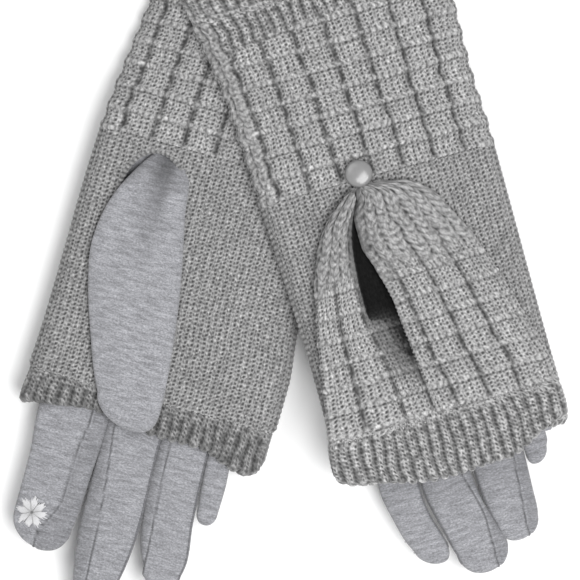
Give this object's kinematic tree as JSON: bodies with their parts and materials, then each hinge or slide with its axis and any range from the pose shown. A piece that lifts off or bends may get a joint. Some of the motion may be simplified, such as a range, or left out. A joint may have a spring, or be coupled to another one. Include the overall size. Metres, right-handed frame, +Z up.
{
  "type": "convertible flip-top mittens",
  "caption": "Pair of grey knitted fingerless mittens with buttoned flip-back finger flaps over jersey inner gloves, lying flat and crossed at the cuffs.",
  "frame": {"origin": "bottom centre of the pair's box, on the surface it lies on", "axes": "+Z up from the surface, +Y from the fingers to the cuffs along the middle line of the pair, +X to the left glove"},
  "size_m": [0.2482, 0.3114, 0.0464],
  "materials": {
    "knit": "grey marl wool-blend knit, waffle and plain stitch",
    "rib_knit": "grey marl one-by-one rib",
    "jersey": "brushed blue-grey melange jersey",
    "elastic": "covered elastic cord",
    "button": "polished grey",
    "embroidery": "pale conductive satin-stitch thread"
  },
  "bodies": {
    "right_glove": {"right_shell_back": "knit", "right_shell_palm": "knit", "right_cuff_back": "knit", "right_cuff_palm": "knit", "right_side_seam_thumb": "knit", "right_side_seam_little": "knit", "right_finger_hem": "rib_knit", "right_wrist_band": "rib_knit", "right_thumb_opening_edge": "rib_knit", "right_button_shank": "button", "right_button_dome": "button", "right_liner_back": "jersey", "right_liner_palm": "jersey"},
    "right_flap": {"right_flap_near_layer": "knit", "right_flap_far_layer": "knit", "right_flap_seam_thumb": "knit", "right_flap_seam_little": "knit", "right_flap_hem": "rib_knit", "right_flap_loop": "elastic"},
    "right_thumb": {"right_liner_thumb": "jersey"},
    "right_index": {"right_liner_index": "jersey", "right_fourchette_index_little_side": "jersey", "right_touch_flower": "embroidery"},
    "right_middle": {"right_liner_middle": "jersey", "right_fourchette_middle_thumb_side": "jersey", "right_fourchette_middle_little_side": "jersey"},
    "right_ring": {"right_liner_ring": "jersey", "right_fourchette_ring_thumb_side": "jersey", "right_fourchette_ring_little_side": "jersey"},
    "right_little": {"right_liner_little": "jersey"},
    "left_glove": {"left_shell_back": "knit", "left_shell_palm": "knit", "left_cuff_back": "knit", "left_cuff_palm": "knit", "left_side_seam_thumb": "knit", "left_side_seam_little": "knit", "left_finger_hem": "rib_knit", "left_wrist_band": "rib_knit", "left_thumb_opening_edge": "rib_knit", "left_button_shank": "button", "left_button_dome": "button", "left_liner_back": "jersey", "left_liner_palm": "jersey"},
    "left_flap": {"left_flap_near_layer": "knit", "left_flap_far_layer": "knit", "left_flap_seam_thumb": "knit", "left_flap_seam_little": "knit", "left_flap_hem": "rib_knit", "left_flap_loop": "elastic"},
    "left_thumb": {"left_liner_thumb": "jersey"},
    "left_index": {"left_liner_index": "jersey", "left_fourchette_index_little_side": "jersey", "left_touch_flower": "embroidery"},
    "left_middle": {"left_liner_middle": "jersey", "left_fourchette_middle_thumb_side": "jersey", "left_fourchette_middle_little_side": "jersey"},
    "left_ring": {"left_liner_ring": "jersey", "left_fourchette_ring_thumb_side": "jersey", "left_fourchette_ring_little_side": "jersey"},
    "left_little": {"left_liner_little": "jersey"}
  },
  "joints": [
    {"name": "left_glove_lift", "type": "slide", "parent": "right_glove", "child": "left_glove", "axis": [0, 0, 1], "range_m": [0, 0.12]},
    {"name": "right_flap_hinge", "type": "hinge", "parent": "right_glove", "child": "right_flap", "pos_m": [-0.06536, -0.07399, 0.0045], "axis": [-0.9636, 0.2672, 0], "range_deg": [0, 165], "deforming": ["right_flap_loop"]},
    {"name": "right_thumb_fold", "type": "hinge", "parent": "right_glove", "child": "right_thumb", "pos_m": [-0.05433, 0.04437, 0.0292], "axis": [-0.9636, 0.2672, 0], "range_deg": [0, 150]},
    {"name": "right_index_fold", "type": "hinge", "parent": "right_glove", "child": "right_index", "pos_m": [-0.09753, -0.06911, 0.01915], "axis": [-0.9636, 0.2672, 0], "range_deg": [0, 75]},
    {"name": "right_middle_fold", "type": "hinge", "parent": "right_glove", "child": "right_middle", "pos_m": [-0.06958, -0.07686, 0.01915], "axis": [-0.9636, 0.2672, 0], "range_deg": [0, 75]},
    {"name": "right_ring_fold", "type": "hinge", "parent": "right_glove", "child": "right_ring", "pos_m": [-0.04675, -0.0832, 0.01915], "axis": [-0.9636, 0.2672, 0], "range_deg": [0, 75]},
    {"name": "right_little_fold", "type": "hinge", "parent": "right_glove", "child": "right_little", "pos_m": [-0.03075, -0.08763, 0.01915], "axis": [-0.9636, 0.2672, 0], "range_deg": [0, 75]},
    {"name": "left_flap_hinge", "type": "hinge", "parent": "left_glove", "child": "left_flap", "pos_m": [0.07585, -0.09442, 0.0263], "axis": [0.9636, 0.2672, 0], "range_deg": [0, 175], "deforming": ["left_flap_loop"]},
    {"name": "left_thumb_fold", "type": "hinge", "parent": "left_glove", "child": "left_thumb", "pos_m": [0.02884, 0.01521, 0.0002], "axis": [0.9636, 0.2672, 0], "range_deg": [0, 150]},
    {"name": "left_index_fold", "type": "hinge", "parent": "left_glove", "child": "left_index", "pos_m": [0.04919, -0.10046, 0.01775], "axis": [0.9636, 0.2672, 0], "range_deg": [-75, 0]},
    {"name": "left_middle_fold", "type": "hinge", "parent": "left_glove", "child": "left_middle", "pos_m": [0.0706, -0.09795, 0.01775], "axis": [0.9636, 0.2672, 0], "range_deg": [-75, 0]},
    {"name": "left_ring_fold", "type": "hinge", "parent": "left_glove", "child": "left_ring", "pos_m": [0.09434, -0.09001, 0.01775], "axis": [0.9636, 0.2672, 0], "range_deg": [-75, 0]},
    {"name": "left_little_fold", "type": "hinge", "parent": "left_glove", "child": "left_little", "pos_m": [0.11043, -0.08067, 0.01775], "axis": [0.9636, 0.2672, 0], "range_deg": [-75, 0]}
  ]
}
